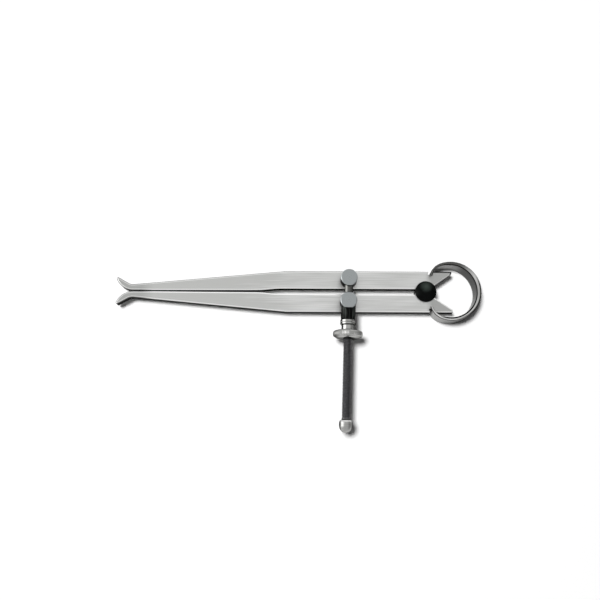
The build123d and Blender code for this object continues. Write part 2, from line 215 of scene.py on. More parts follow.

# Bevels: bright, but with painted shade on the outer parts of the upper leg's and the feet's,
# and a painted shadow of the ring on the upper prong's.
outer_bevel = fade_out(leg_steel, distance_along(leg_steel, "Z", upper_leg_high.z), *OUTER_BEVEL_Z)
on_upper_leg = math_node(leg_steel, "GREATER_THAN", across_leg, fulcrum_y + OUTER_BEVEL_Y)
ring_shadow = overlap(
    leg_steel,
    math_node(leg_steel, "GREATER_THAN", along_leg, prong_start),
    math_node(leg_steel, "GREATER_THAN", across_leg, upper_leg_high.y - PRONG_BEVEL_SHADOW_REACH),
)
bevel_colour = LEG_BEVEL_COLOUR
for share, colour in (
    (overlap(leg_steel, outer_bevel, on_upper_leg), OUTER_BEVEL_SHADE_COLOUR),
    (overlap(leg_steel, outer_bevel, on_foot), FOOT_BEVEL_SHADE_COLOUR),
    (ring_shadow, PRONG_BEVEL_SHADOW_COLOUR),
):
    bevel_colour = mix_colours(leg_steel, share, bevel_colour, colour)

level_share, slope_share = (
    fade_in(leg_steel, facing(leg_steel, "Z"), *levels) for levels in (LEVEL_FACING, WALL_FACING)
)
slope_colour = mix_colours(leg_steel, level_share, bevel_colour, face_colour)
wire(
    leg_steel,
    Base_Color=mix_colours(leg_steel, slope_share, LEG_WALL_SHADE_COLOUR, slope_colour),
    Roughness=spread(leg_steel, scratches, *LEG_FACE_ROUGHNESS),
    Normal=bump(leg_steel, scratches, LEG_SCRATCH_DEPTH),
)
dress("upper_leg", leg_steel)
dress("lower_leg", leg_steel)

# Fulcrum: a turned steel roller that the legs' round notches bear on, held between two domed caps. The
# lower one is turned steel, and the upper one is moulded in glossy black, with a faintly uneven skin.
TURNED_COLOURS, TURNED_ROUGHNESS = ((0.5, 0.5, 0.49), (0.6, 0.6, 0.59)), (0.25, 0.35)
TURNED_RINGS_PER_MM, TURNED_RING_DEPTH = 4.0, 0.003
BLACK_SHINE = 0.05  # specular level of the black pieces
CAP_COLOURS = ((0.001, 0.001, 0.001), (0.002, 0.003, 0.0025))
CAP_ROUGHNESS = (0.14, 0.2)
CAP_SKIN_PER_MM, CAP_SKIN_DEPTH = (0.9, 0.9, 0.9), 0.006
SHEEN_COLOUR = (0.036, 0.046, 0.04)  # of the painted sheen, a paler patch on the cap
SHEEN_Y = 2.2  # how far its middle lies behind the cap's
SHEEN_REACH = (1.2, 4.0)  # where it is full, and where it ends
SHEEN_WANDER = 1.5  # how far the skin's unevenness moves that


def recolour(material, share, colour):
    """Turns a finish's own colour into another by a share."""
    own_colour = material.node_tree.nodes["Principled BSDF"].inputs["Base Color"].links[0].from_socket
    wire(material, Base_Color=mix_colours(material, share, own_colour, colour))


def distance_out(material, centre, axis="Z"):
    """How far a point lies from the line through a centre along an axis: the root of the sum of the
    squares of its distances along the two other axes."""
    squares = [
        math_node(material, "POWER", distance_along(material, side, centre["XYZ".index(side)]), 2.0)
        for side in "XYZ" if side != axis
    ]
    return math_node(material, "SQRT", math_node(material, "ADD", *squares))


def lathe_place(material, centre, axis, per_mm):
    """Distance along a turned piece's axis and out from it, as a vector scaled to so many features per
    millimetre. Noise that reads it has rings round the axis, as turning leaves them."""
    along = distance_along(material, axis, centre["XYZ".index(axis)])
    sockets = {
        "X": math_node(material, "MULTIPLY", along, per_mm),
        "Y": math_node(material, "MULTIPLY", distance_out(material, centre, axis), per_mm),
    }
    return add_node(material, "ShaderNodeCombineXYZ", sockets).outputs["Vector"]


def turned_finish(
    name, node, axis, colours, roughness, rings_per_mm=TURNED_RINGS_PER_MM, depth=TURNED_RING_DEPTH
):
    """Metal turned on a lathe: fine rings round the axis in colour, roughness and relief."""
    material = new_finish(name, Metallic=1.0, Specular_Tint=OILED_TINT)
    rings = noise(material, lathe_place(material, middle(node), axis, rings_per_mm), detail=FINE_DETAIL)
    wire(
        material,
        Base_Color=mix_colours(material, spread(material, rings, 0.0, 1.0), *colours),
        Roughness=spread(material, rings, *roughness),
        Normal=bump(material, rings, depth),
    )
    return material


for name in ("fulcrum_roller", "fulcrum_cap_bottom"):
    dress(name, turned_finish(name + "_steel", name, "Z", TURNED_COLOURS, TURNED_ROUGHNESS))
cap_black = new_finish("cap_black", Metallic=0.0, Specular_IOR_Level=BLACK_SHINE)
skin = noise(cap_black, place(cap_black, CAP_SKIN_PER_MM))
from_sheen = distance_out(cap_black, (fulcrum_x, fulcrum_y + SHEEN_Y))
uneven_reach = math_node(cap_black, "MULTIPLY_ADD", skin, SHEEN_WANDER, from_sheen)
wire(
    cap_black,
    Base_Color=mix_colours(cap_black, spread(cap_black, skin, 0.0, 1.0), *CAP_COLOURS),
    Roughness=spread(cap_black, skin, *CAP_ROUGHNESS),
    Normal=bump(cap_black, skin, CAP_SKIN_DEPTH),
)
# Painted sheen: a paler patch towards the cap's far side, its edge made uneven by the skin's noise.
recolour(cap_black, fade_out(cap_black, uneven_reach, *SHEEN_REACH), SHEEN_COLOUR)
dress("fulcrum_cap_top", cap_black)

# Bow spring: a strip of spring steel rolled into an open ring. Its rolled walls are darker than its
# polished rims, and darker still as painted shade; walls and rims carry painted light and shade by place.
# Each end is slotted into two tines that straddle a leg in its notch.
SPRING_CENTRE_FROM_CAP = 12.0
MAIN_RADII = (14.5, 12.95)  # of the strip's outer side and of its inner side
SPRING_SWELL = 0.7  # how far the inner side's main centre stands back towards the fulcrum
CURL_RADII = (8.2, 6.36)
CURL_START_ANGLE = 110.0  # direction that the strip faces where the main arcs end
SPRING_END_ANGLE = 168.0
SPRING_EDGE_ROUND, SPRING_EDGE_POINTS = 0.35, 6
FORK_DEPTH = 0.9
FORK_HALF_HEIGHT = 2.4
SPRING_STEP_ANGLE = 1.5  # between rows of the mesh
SHARP_ANGLE = 32.0  # between two faces, past which their edge stays crisp
MERGE_DISTANCE = 0.0005
SPRING_TINT = (0.6, 0.6, 0.6, 1.0)  # of what the polished strip mirrors at a grazing angle
SPRING_ROUGHNESS = (0.16, 0.26)
ROLLED_LINES_PER_MM, ROLLED_LINE_DEPTH = (0.25, 0.25, 5.0), 0.002
RIM_FACING = (0.85, 0.97)  # how squarely a surface faces up or down, from a wall to a rim
# black painted shade, for dark lines along edges and in corners
BLACK_SHADE_COLOUR = (0.004, 0.004, 0.004)
# Below, a name that ends in _X or _Y is a pair of places along that axis, counted from the ring's
# centre, between which a finish comes or goes.
# the walls' darker rolled steel, deepened as painted shade
WALL_DARK_SHADED_COLOURS = ((0.04, 0.04, 0.039), (0.075, 0.075, 0.073))
WALL_HIGHLIGHT_COLOURS = ((0.42, 0.42, 0.41), (0.75, 0.75, 0.735))  # painted highlight near the legs
WALL_HIGHLIGHT_X = (-5.0, 6.5)
WALL_SHADE_Y, WALL_SHADE_SHARE = (-13.5, -8.0), 0.65  # painted shade: the highlight's share left at the screw's side
WALL_SHADE_LINE_DEPTHS = (0.8, 0.6)  # in from each rim, of the start and the full part of the walls' painted black line of shade
RIM_LIT_SHADED_COLOURS = ((0.8, 0.8, 0.79), (0.12, 0.12, 0.115))  # painted light at the screw's side, and painted shade at the far side
RIM_LIT_SHADED_Y = (-13.0, 11.0)
GLINT_COLOUR, GLINT_SHARE = (0.95, 0.95, 0.94), 0.6  # a painted highlight on the rim
GLINT_MIDDLE = 6.5  # how far past the ring's centre its middle lies along Y
GLINT_REACH = (0.5, 7.5)  # how far from there it is full, and where it ends
GLINT_X = (4.0, 8.0)
OUTLINE_SHADE_COLOUR = (0.05, 0.05, 0.048)  # of the painted shade in a band along the rim's outer edge, at the far end
OUTLINE_WIDTHS = (0.95, 0.65)  # in from that edge, of its start and its full part
OUTLINE_X, OUTLINE_Y = (-1.0, 9.0), (3.5, 8.0)
INLINE_WIDTHS = (0.75, 0.35)  # of the painted black line of shade along the rim's inner edge, near the screw and far off
INLINE_BLEND = 0.1
INLINE_X, INLINE_Y = (-6.0, -3.0), (-12.0, 0.0)


def grid_faces(rows, columns, close_rows=False, close_columns=False, first=0):
    """Quads over a grid of points that are numbered row by row from a first number. A closed direction
    joins its last to its first."""
    row = np.arange(rows if close_rows else rows - 1)
    column = np.arange(columns if close_columns else columns - 1)
    r, c = (a.ravel() for a in np.meshgrid(row, column, indexing="ij"))
    r2, c2 = (r + 1) % rows, (c + 1) % columns
    quads = np.stack([r * columns + c, r2 * columns + c, r2 * columns + c2, r * columns + c2], axis=1)
    return quads + first


def make_piece(name, points, faces, material):
    """A mesh object from points in millimetres and lists of point numbers. Double points are merged, the
    faces are turned outwards, and sharp edges stay crisp."""
    mesh = bpy.data.meshes.new(name)
    mesh.from_pydata((np.asarray(points) * MM).tolist(), [], [list(map(int, f)) for f in faces])
    shell = bmesh.new()
    shell.from_mesh(mesh)
    bmesh.ops.remove_doubles(shell, verts=shell.verts, dist=MERGE_DISTANCE * MM)
    bmesh.ops.recalc_face_normals(shell, faces=shell.faces)
    shell.to_mesh(mesh)
    shell.free()
    mesh.shade_smooth()
    mesh.set_sharp_from_angle(angle=radians(SHARP_ANGLE))
    mesh.materials.append(material)
    piece = bpy.data.objects.new(name, mesh)
    bpy.context.scene.collection.objects.link(piece)
    return piece


def unit(degrees_round):
    """Unit vectors (cos a, sin a) at angles in degrees round from +X, as rows."""
    angle = np.radians(degrees_round)
    return np.stack([np.cos(angle), np.sin(angle)], axis=-1)


def strip_side(angles, main_centre, main_radius, curl_radius):
    """Points of one side of the strip that face the given angles: centre + radius * (cos a, sin a), with
    the main arc's centre and radius up to the curl's start, and the curl's own ones past it."""
    curl = np.abs(angles) > CURL_START_ANGLE
    curl_centre = main_centre + (main_radius - curl_radius) * unit(np.sign(angles) * CURL_START_ANGLE)
    centre = np.where(curl[:, None], curl_centre, main_centre)
    return centre + np.where(curl, curl_radius, main_radius)[:, None] * unit(angles)


def bent_strip(section, from_angle, to_angle):
    """The strip's section carried from one facing angle to another, as rows of points. A section point
    is the side that it hangs on (0 outer, 1 inner), its depth below that side, and its height."""
    count = max(2, int(abs(to_angle - from_angle) / SPRING_STEP_ANGLE) + 1)
    angles = np.linspace(from_angle, to_angle, count)
    outer = strip_side(angles, spring_centre, MAIN_RADII[0], CURL_RADII[0])
    inner = strip_side(angles, inner_centre, MAIN_RADII[1], CURL_RADII[1])
    inwards = (inner - outer) / np.linalg.norm(inner - outer, axis=1, keepdims=True)
    side, depth, height = section.T
    below = depth[:, None] * inwards[:, None]
    level = np.where(side[:, None] == 1, inner[:, None] - below, outer[:, None] + below)
    upright = np.broadcast_to(spring_low[2] + height, level.shape[:2])
    return np.concatenate([level, upright[:, :, None]], axis=2)


def rounded_edge(side, upper):
    """Section points of the quarter round between one side of the strip and its upper or lower rim:
    radius - radius * cos a below the side, and radius - radius * sin a in from the rim."""
    turn = np.radians(np.linspace(0, 90, SPRING_EDGE_POINTS))
    depth, rise = SPRING_EDGE_ROUND * (1 - np.cos(turn)), SPRING_EDGE_ROUND * (1 - np.sin(turn))
    height = spring_width - rise if upper else rise
    return np.stack([np.full(len(turn), side), depth, height], axis=1)


def distance_from(material, axis, start):
    """How far a point lies from a start along an axis, either way: the size of the distance along it."""
    return math_node(material, "ABSOLUTE", distance_along(material, axis, start))


spring_low, spring_high = (np.array(corner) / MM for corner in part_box("bow_spring"))
spring_centre = np.array([fulcrum_x + SPRING_CENTRE_FROM_CAP, fulcrum_y])
inner_centre = spring_centre - (SPRING_SWELL, 0)
spring_width = spring_high[2] - spring_low[2]
fork_low = spring_width / 2 - FORK_HALF_HEIGHT
fork_high = spring_width / 2 + FORK_HALF_HEIGHT
lower_rim = np.concatenate([rounded_edge(1, False), rounded_edge(0, False)[::-1]])
upper_rim = np.concatenate([rounded_edge(0, True), rounded_edge(1, True)[::-1]])
outer_wall = np.array([(0, 0, fork_low), (0, 0, fork_high)])
inner_wall = np.array([(1, 0, fork_high), (1, 0, fork_low)])
whole_section = np.concatenate([lower_rim, outer_wall, upper_rim, inner_wall])
lower_tine_section = np.concatenate([inner_wall[1:], lower_rim, outer_wall[:1]])
upper_tine_section = np.concatenate([outer_wall[1:], upper_rim, inner_wall[:1]])
inner_end, outer_end = (
    bent_strip(wall, SPRING_END_ANGLE, SPRING_END_ANGLE)[0, 0] for wall in (inner_wall, outer_wall[::-1])
)
end_thickness = np.linalg.norm(inner_end - outer_end)
fork_root_angle = SPRING_END_ANGLE - np.degrees(FORK_DEPTH / (CURL_RADII[0] - end_thickness / 2))
# One strip runs from slot to slot, and two tines go on from each of its ends. Each tine is closed by a
# face at its tip, and a face between the two tines is the floor of the slot.
strips = [bent_strip(whole_section, -fork_root_angle, fork_root_angle)]
for side in (-1, 1):
    for section in (lower_tine_section, upper_tine_section):
        strips.append(bent_strip(section, side * fork_root_angle, side * SPRING_END_ANGLE))
strip_points, strip_faces = [], []
for strip in strips:
    rows, columns = strip.shape[:2]
    first = sum(len(points) for points in strip_points)
    strip_points.append(strip.reshape(-1, 3))
    strip_faces += grid_faces(rows, columns, close_columns=True, first=first).tolist()
    if strip is not strips[0]:
        tine_end = first + columns * (rows - 1)
        strip_faces.append(range(tine_end, tine_end + columns))
wall_start = len(lower_rim)
slot_floor = [wall_start, wall_start + 1, len(whole_section) - 2, len(whole_section) - 1]
last_row = len(strip_points[0]) - len(whole_section)
strip_faces += [slot_floor, [last_row + number for number in slot_floor]]

spring_steel = new_finish("spring_steel", Metallic=1.0, Specular_Tint=SPRING_TINT)
spring_x, spring_y = (
    distance_along(spring_steel, axis, start) for axis, start in zip("XY", spring_centre)
)
rolled = noise(spring_steel, place(spring_steel, ROLLED_LINES_PER_MM), detail=FINE_DETAIL)
rolled_share = spread(spring_steel, rolled, 0.0, 1.0)
# Walls: rolled, with a painted highlight near the legs, dimmed by painted shade at the screw's side,
# and a painted black line of shade along each rim.
wall_colour = mix_colours(
    spring_steel,
    overlap(
        spring_steel,
        fade_out(spring_steel, spring_x, *WALL_HIGHLIGHT_X),
        spread(spring_steel, spring_y, WALL_SHADE_SHARE, 1.0, *WALL_SHADE_Y),
    ),
    mix_colours(spring_steel, rolled_share, *WALL_DARK_SHADED_COLOURS),
    mix_colours(spring_steel, rolled_share, *WALL_HIGHLIGHT_COLOURS),
)
half_width = float(spring_width) / 2
from_half_height = distance_from(spring_steel, "Z", spring_low[2] + half_width)
wall_shade_line = fade_in(spring_steel, from_half_height, *(half_width - depth for depth in WALL_SHADE_LINE_DEPTHS))
wall_colour = mix_colours(spring_steel, wall_shade_line, wall_colour, BLACK_SHADE_COLOUR)

# Rims: painted light at the screw's side and painted shade at the far one, with a painted glint, a
# painted dark band of shade along the outer edge and a painted black line of shade along the inner one.
from_glint = distance_from(spring_steel, "Y", spring_centre[1] + GLINT_MIDDLE)
glint = overlap(
    spring_steel,
    fade_out(spring_steel, from_glint, *GLINT_REACH, GLINT_SHARE),
    fade_in(spring_steel, spring_x, *GLINT_X),
)
outline_radii = (MAIN_RADII[0] - width for width in OUTLINE_WIDTHS)
outline = overlap(
    spring_steel,
    fade_in(spring_steel, distance_out(spring_steel, spring_centre), *outline_radii),
    fade_in(spring_steel, spring_x, *OUTLINE_X),
    fade_out(spring_steel, spring_y, *OUTLINE_Y),
)
inline_width = spread(spring_steel, spring_y, *INLINE_WIDTHS, *INLINE_Y)
from_inline = math_node(spring_steel, "SUBTRACT", distance_out(spring_steel, inner_centre), inline_width)
inline = overlap(
    spring_steel,
    fade_in(spring_steel, spring_x, *INLINE_X),
    fade_out(spring_steel, from_inline, MAIN_RADII[1] - INLINE_BLEND, MAIN_RADII[1] + INLINE_BLEND),
)
rim_colour = mix_colours(spring_steel, fade_in(spring_steel, spring_y, *RIM_LIT_SHADED_Y), *RIM_LIT_SHADED_COLOURS)
for share, colour in ((glint, GLINT_COLOUR), (outline, OUTLINE_SHADE_COLOUR), (inline, BLACK_SHADE_COLOUR)):
    rim_colour = mix_colours(spring_steel, share, rim_colour, colour)
rim_share = fade_in(spring_steel, facing(spring_steel, "Z"), *RIM_FACING)
wire(
    spring_steel,
    Base_Color=mix_colours(spring_steel, rim_share, wall_colour, rim_colour),
    Roughness=spread(spring_steel, rolled, *SPRING_ROUGHNESS),
    Normal=bump(spring_steel, rolled, ROLLED_LINE_DEPTH),
)
bow_spring = make_piece("bow_spring_strip", np.concatenate(strip_points), strip_faces, spring_steel)
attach(bow_spring, "spring")
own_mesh(bow_spring)
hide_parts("bow_spring")

# Posts: turned studs with faced heads, whose shanks turn in the legs and are riveted over washers.
# The upper one also holds a small cross pin that keeps the screw in its bore.
POST_TOP_COLOURS = ((0.385, 0.41, 0.415), (0.41, 0.435, 0.44))
POST_SIDE_SHADE_COLOUR = (0.1, 0.1, 0.1)
POST_ROUGHNESS = (0.27, 0.29)
POST_RINGS_PER_MM, POST_RING_DEPTH = 2.0, 0.0003
WASHER_COLOURS, WASHER_ROUGHNESS = ((0.55, 0.55, 0.54), (0.66, 0.66, 0.65)), (0.3, 0.4)
for name in ("upper_post", "lower_post"):
    post_steel = turned_finish(
        name + "_steel", name, "Z", POST_TOP_COLOURS, POST_ROUGHNESS, POST_RINGS_PER_MM, POST_RING_DEPTH
    )
    # The posts' sides are darkened as painted shade.
    recolour(post_steel, fade_out(post_steel, facing(post_steel, "Z"), *WALL_FACING), POST_SIDE_SHADE_COLOUR)
    dress(name, post_steel)
    washer = name + "_washer"
    dress(washer, turned_finish(washer + "_steel", washer, "Z", WASHER_COLOURS, WASHER_ROUGHNESS))
dress("screw_pin", turned_finish("pin_steel", "screw_pin", "X", WASHER_COLOURS, WASHER_ROUGHNESS))

# Adjusting screw: a steel rod with a plain neck between the posts and a fine rolled thread, dark with
# oil, as far as the end stop. Its spigot sits in the stop.
THREAD_PITCH = 0.7
THREAD_DEPTH = 0.36
THREAD_FLAT_SHARE = 0.16  # of the pitch, left flat at the crests and again at the roots
THREAD_RUN_OUT = 1.4
THREAD_ROWS_PER_PITCH = 8
THREAD_RADIUS = 2.1
THREAD_START, THREAD_END = -12.0, -61.8  # along the screw from between the posts
THREAD_COLOURS = ((0.1, 0.1, 0.105), (0.23, 0.23, 0.235))
THREAD_END_SHADE = (0.4, 0.5)  # how far up from the end stop the painted black shade is full, and where it ends
NECK_RADIUS, NECK_TAIL, NECK_BEVEL = 2.0, 3.0, 0.25
NECK_LIT_SHADED_COLOURS = ((0.26, 0.26, 0.25), (0.12, 0.12, 0.115))  # painted highlight on its left, and painted shade on its right
NECK_SHADE_X = (-0.9, -0.1)  # from the axis, between the two
NECK_START = (-0.5, 0.5)  # from the thread's start, between the thread's finish and the neck's
SCREW_ROUGHNESS = (0.34, 0.1)  # of the thread, and of the neck
SCREW_RINGS_PER_MM, SCREW_RING_DEPTH = 3.0, 0.002
SPIGOT_RADIUS, SPIGOT_LENGTH = 1.4, 3.5
SCREW_SIDES = 48

upper_axis, lower_axis = (np.array(middle(name)[:2]) for name in ("upper_post", "lower_post"))
post_reach = np.linalg.norm(upper_axis - lower_axis) / 2  # from between the posts to each of them
screw_way = (upper_axis - lower_axis) / (2 * post_reach)
screw_origin = (*((upper_axis + lower_axis) / 2), middle("adjusting_nut")[2])


def turned_points(along, radius, angles):
    """Points round the leaning screw's axis: each row is a circle at one distance along it from the
    place between the posts, and the radius is given for each row and angle."""
    along, across = np.asarray(along)[:, None], radius * np.cos(angles)
    x = screw_origin[0] + along * screw_way[0] + across * screw_way[1]
    y = screw_origin[1] + along * screw_way[1] - across * screw_way[0]
    z = screw_origin[2] + radius * np.sin(angles)
    return np.stack([x, y, z], axis=2).reshape(-1, 3)


# Thread: a groove in the rod. Its phase is the pitches along the screw less the turns round it, its
# flanks slope evenly between flat crests and flat roots, and it grows shallow towards both ends.
round_angles = np.linspace(0, 2 * pi, SCREW_SIDES, endpoint=False)
thread_rows = np.arange(THREAD_START, THREAD_END, -THREAD_PITCH / THREAD_ROWS_PER_PITCH)
phase = (thread_rows[:, None] / THREAD_PITCH - round_angles / (2 * pi)) % 1
flank = (np.abs(2 * phase - 1) - THREAD_FLAT_SHARE) / (1 - 2 * THREAD_FLAT_SHARE)
from_thread_ends = np.minimum(THREAD_START - thread_rows, thread_rows - THREAD_END)
groove_depth = THREAD_DEPTH * np.clip(from_thread_ends / THREAD_RUN_OUT, 0, 1)[:, None]
thread_radius = THREAD_RADIUS - groove_depth * (1 - np.clip(flank, 0, 1))
neck_end = post_reach + NECK_TAIL
neck_along = [neck_end, neck_end, neck_end - NECK_BEVEL, THREAD_START + NECK_BEVEL]
neck_radius = [0, NECK_RADIUS - NECK_BEVEL, NECK_RADIUS, NECK_RADIUS]
spigot_along = [THREAD_END, THREAD_END, THREAD_END - SPIGOT_LENGTH, THREAD_END - SPIGOT_LENGTH]
spigot_radius = [THREAD_RADIUS, SPIGOT_RADIUS, SPIGOT_RADIUS, 0]
sides = np.ones(SCREW_SIDES)
screw_along = np.concatenate([neck_along, thread_rows, spigot_along])
screw_radii = np.concatenate([
    np.outer(neck_radius, sides), thread_radius, np.outer(spigot_radius, sides)
])

screw_steel = new_finish("screw_steel", Metallic=1.0, Specular_Tint=OILED_TINT)
screw_place = lathe_place(screw_steel, screw_origin, "Y", SCREW_RINGS_PER_MM)
drawn = noise(screw_steel, screw_place, detail=FINE_DETAIL)
above_thread = distance_along(screw_steel, "Y", screw_origin[1] + THREAD_START)
above_stop = distance_along(screw_steel, "Y", screw_origin[1] + THREAD_END)
across_screw = distance_along(screw_steel, "X", screw_origin[0])
neck_share = fade_in(screw_steel, above_thread, *NECK_START)
neck_shade = fade_in(screw_steel, across_screw, *NECK_SHADE_X)
wire(
    screw_steel,
    Base_Color=mix_colours(screw_steel, spread(screw_steel, drawn, 0.0, 1.0), *THREAD_COLOURS),
    Roughness=spread(screw_steel, neck_share, *SCREW_ROUGHNESS, mask_from=0.0, mask_to=1.0),
    Normal=bump(screw_steel, drawn, SCREW_RING_DEPTH),
)
# The neck is a painted highlight on its left and painted shade on its right.
recolour(screw_steel, neck_share, mix_colours(screw_steel, neck_shade, *NECK_LIT_SHADED_COLOURS))
# Painted black shade in the corner where the thread meets the end stop.
recolour(screw_steel, fade_out(screw_steel, above_stop, *THREAD_END_SHADE), BLACK_SHADE_COLOUR)
adjusting_screw = make_piece(
    "adjusting_screw_threaded",
    turned_points(screw_along, screw_radii, round_angles),
    grid_faces(len(screw_along), SCREW_SIDES, close_columns=True),
    screw_steel,
)
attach(adjusting_screw, "screw_assembly")
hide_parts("adjusting_screw")

# End stop: an egg-shaped steel button on the end of the screw, turned and then tumbled to a satin. Its
# shoulder carries a painted highlight, its sides painted shade, and its top a painted black line of shade
# against the thread.
STOP_COLOURS, STOP_ROUGHNESS = ((0.35, 0.35, 0.34), (0.48, 0.48, 0.47)), (0.26, 0.36)
STOP_RINGS_PER_MM = 2.5
STOP_SIDE_SHADE_COLOUR, STOP_SIDE_FACING = (0.05, 0.05, 0.048), (0.7, 0.92)
STOP_SHOULDER_HIGHLIGHT_COLOUR, STOP_SHOULDER_HIGHLIGHT_SHARE = (0.72, 0.72, 0.71), 0.85
STOP_SHOULDER_DEPTHS = (0.8, 1.4)  # below its top, of the full painted highlight and of its end
STOP_SHADE_DEPTHS = (0.1, 0.3)  # and of the painted black shade against the thread
stop_steel = turned_finish(
    "stop_steel", "screw_end_stop", "Y", STOP_COLOURS, STOP_ROUGHNESS, STOP_RINGS_PER_MM
)
stop_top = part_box("screw_end_stop")[1].y / MM
below_top = math_node(stop_steel, "MULTIPLY", distance_along(stop_steel, "Y", stop_top), -1.0)
shoulder = fade_out(stop_steel, below_top, *STOP_SHOULDER_DEPTHS, STOP_SHOULDER_HIGHLIGHT_SHARE)
stop_side_shade = fade_in(stop_steel, facing(stop_steel, "X"), *STOP_SIDE_FACING)
# Painted highlight on the shoulder, painted shade on the sides, and painted black shade against the
# thread.
recolour(stop_steel, shoulder, STOP_SHOULDER_HIGHLIGHT_COLOUR)
recolour(stop_steel, stop_side_shade, STOP_SIDE_SHADE_COLOUR)
recolour(stop_steel, fade_out(stop_steel, below_top, *STOP_SHADE_DEPTHS), BLACK_SHADE_COLOUR)
dress("screw_end_stop", stop_steel)

# Thrust sleeve: a short tube of steel with a glossy black finish, pushed up to the lower post, with
# painted highlights as paler streaks along it.
SLEEVE_COLOURS, SLEEVE_ROUGHNESS = ((0.001, 0.001, 0.001), (0.05, 0.056, 0.052)), (0.16, 0.26)
SLEEVE_RINGS_PER_MM, SLEEVE_RING_DEPTH = 3.0, 0.002
HIGHLIGHT_STREAKS_PER_MM, HIGHLIGHT_STREAK_TONES = (1.1, 0.08, 0.0), (0.5, 0.66)
sleeve_black = new_finish("sleeve_black", Metallic=0.0, Specular_IOR_Level=BLACK_SHINE)
sleeve_place = lathe_place(sleeve_black, middle("thrust_sleeve"), "Y", SLEEVE_RINGS_PER_MM)
turning = noise(sleeve_black, sleeve_place, detail=FINE_DETAIL)
highlight_streaks = noise(sleeve_black, place(sleeve_black, HIGHLIGHT_STREAKS_PER_MM))
wire(
    sleeve_black,
    Base_Color=mix_colours(sleeve_black, fade_in(sleeve_black, highlight_streaks, *HIGHLIGHT_STREAK_TONES), *SLEEVE_COLOURS),
    Roughness=spread(sleeve_black, turning, *SLEEVE_ROUGHNESS),
    Normal=bump(sleeve_black, turning, SLEEVE_RING_DEPTH),
)
dress("thrust_sleeve", sleeve_black)

# Adjusting nut: turned in one piece and plated, with a grooved collar against the sleeve, a neck, and
# a wide, slightly domed finger disc whose rim has a fine straight knurl.
NUT_SIDES = 320
NUT_BORE_RADIUS = 2.32
NUT_GAP = 0.1  # between the sleeve and the collar
SLEEVE_LENGTH = 9.1  # from the lower post's axis
COLLAR_RADIUS, COLLAR_LENGTH, COLLAR_BEVEL = 3.7, 2.5, 0.3
COLLAR_GROOVE_HALF, COLLAR_GROOVE_DEPTH = 0.2, 0.16
NUT_NECK_RADIUS, NUT_NECK_LENGTH = 3.05, 2.5
DISC_THICKNESS, DISC_ROUND = 2.9, 1.0
DISC_INNER_RISE, DISC_OUTER_RISE = 0.45, 0.85  # how far its middle stands out past the rim on each side
DISC_CURVE_POINTS = 7
KNURL_COUNT = 64
KNURL_DEPTH = 0.16
NUT_COLOURS, NUT_ROUGHNESS = ((0.38, 0.38, 0.37), (0.5, 0.5, 0.49)), (0.1, 0.18)
NUT_RINGS_PER_MM = 3.0
# painted shade on the nut's sides and in the neck's two corners
NUT_SHADE_COLOUR, NUT_SIDE_FACING = (0.03, 0.03, 0.029), (0.72, 0.9)
NUT_CORNER_REACH, NUT_CORNER_SHARE = (0.12, 0.36), 0.85  # of the painted shade in the neck's two corners
NUT_LEFT_SHADE_COLOUR, NUT_LEFT_SHADE_SHARE = (0.12, 0.12, 0.115), 0.8  # painted shade on the disc's left end
NUT_LEFT_SHADE_X = (-6.0, -4.0)  # from the axis, where it is full and where it ends

disc_radius = (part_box("adjusting_nut")[1].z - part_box("adjusting_nut")[0].z) / 2 / MM
collar_start = -post_reach - SLEEVE_LENGTH - NUT_GAP
collar_end = collar_start - COLLAR_LENGTH
nut_neck_end = collar_end - NUT_NECK_LENGTH
disc_start = nut_neck_end - DISC_INNER_RISE
disc_end = disc_start - DISC_THICKNESS
nut_end = disc_end - DISC_OUTER_RISE
groove_middle = (collar_start + collar_end) / 2
# Each side of the disc is a quarter ellipse from the neck out, and then a quarter round to the rim.
dome_share = np.linspace(0, 1, DISC_CURVE_POINTS)[1:-1]  # of the way out from the neck to the round
dome_rise = np.sqrt(1 - dome_share**2)
dome_radius = NUT_NECK_RADIUS + dome_share * (disc_radius - DISC_ROUND - NUT_NECK_RADIUS)
dome_in = np.stack([disc_start + DISC_INNER_RISE * dome_rise, dome_radius], axis=1)
dome_out = np.stack([disc_end - DISC_OUTER_RISE * dome_rise, dome_radius], axis=1)[::-1]
rim_angle = np.radians(np.linspace(90, 0, DISC_CURVE_POINTS))
rim_depth = DISC_ROUND * (1 - np.sin(rim_angle))
rim_radius = disc_radius - DISC_ROUND * (1 - np.cos(rim_angle))
rim_in = np.stack([disc_start - rim_depth, rim_radius], axis=1)
rim_out = np.stack([disc_end + rim_depth, rim_radius], axis=1)[::-1]
# Profile: distances along the screw and radii, from the bore's near end over the outside to its far end.
nut_profile = np.concatenate([
    [
        (collar_start, NUT_BORE_RADIUS),
        (collar_start, COLLAR_RADIUS - COLLAR_BEVEL),
        (collar_start - COLLAR_BEVEL, COLLAR_RADIUS),
        (groove_middle + COLLAR_GROOVE_HALF, COLLAR_RADIUS),
        (groove_middle, COLLAR_RADIUS - COLLAR_GROOVE_DEPTH),
        (groove_middle - COLLAR_GROOVE_HALF, COLLAR_RADIUS),
        (collar_end + COLLAR_BEVEL, COLLAR_RADIUS),
        (collar_end, COLLAR_RADIUS - COLLAR_BEVEL),
        (collar_end, NUT_NECK_RADIUS),
        (nut_neck_end, NUT_NECK_RADIUS),
    ],
    dome_in,
    rim_in,
    rim_out,
    dome_out,
    [(nut_end, NUT_NECK_RADIUS), (nut_end, NUT_BORE_RADIUS)],
])
nut_angles = np.linspace(0, 2 * pi, NUT_SIDES, endpoint=False)
# Knurl: a cosine wave round the nut, with no depth on the dome and its full depth on the rim.
on_rim = np.clip((nut_profile[:, 1] - (disc_radius - DISC_ROUND)) / DISC_ROUND, 0, 1)[:, None]
knurl = KNURL_DEPTH * on_rim * (0.5 - 0.5 * np.cos(KNURL_COUNT * nut_angles))

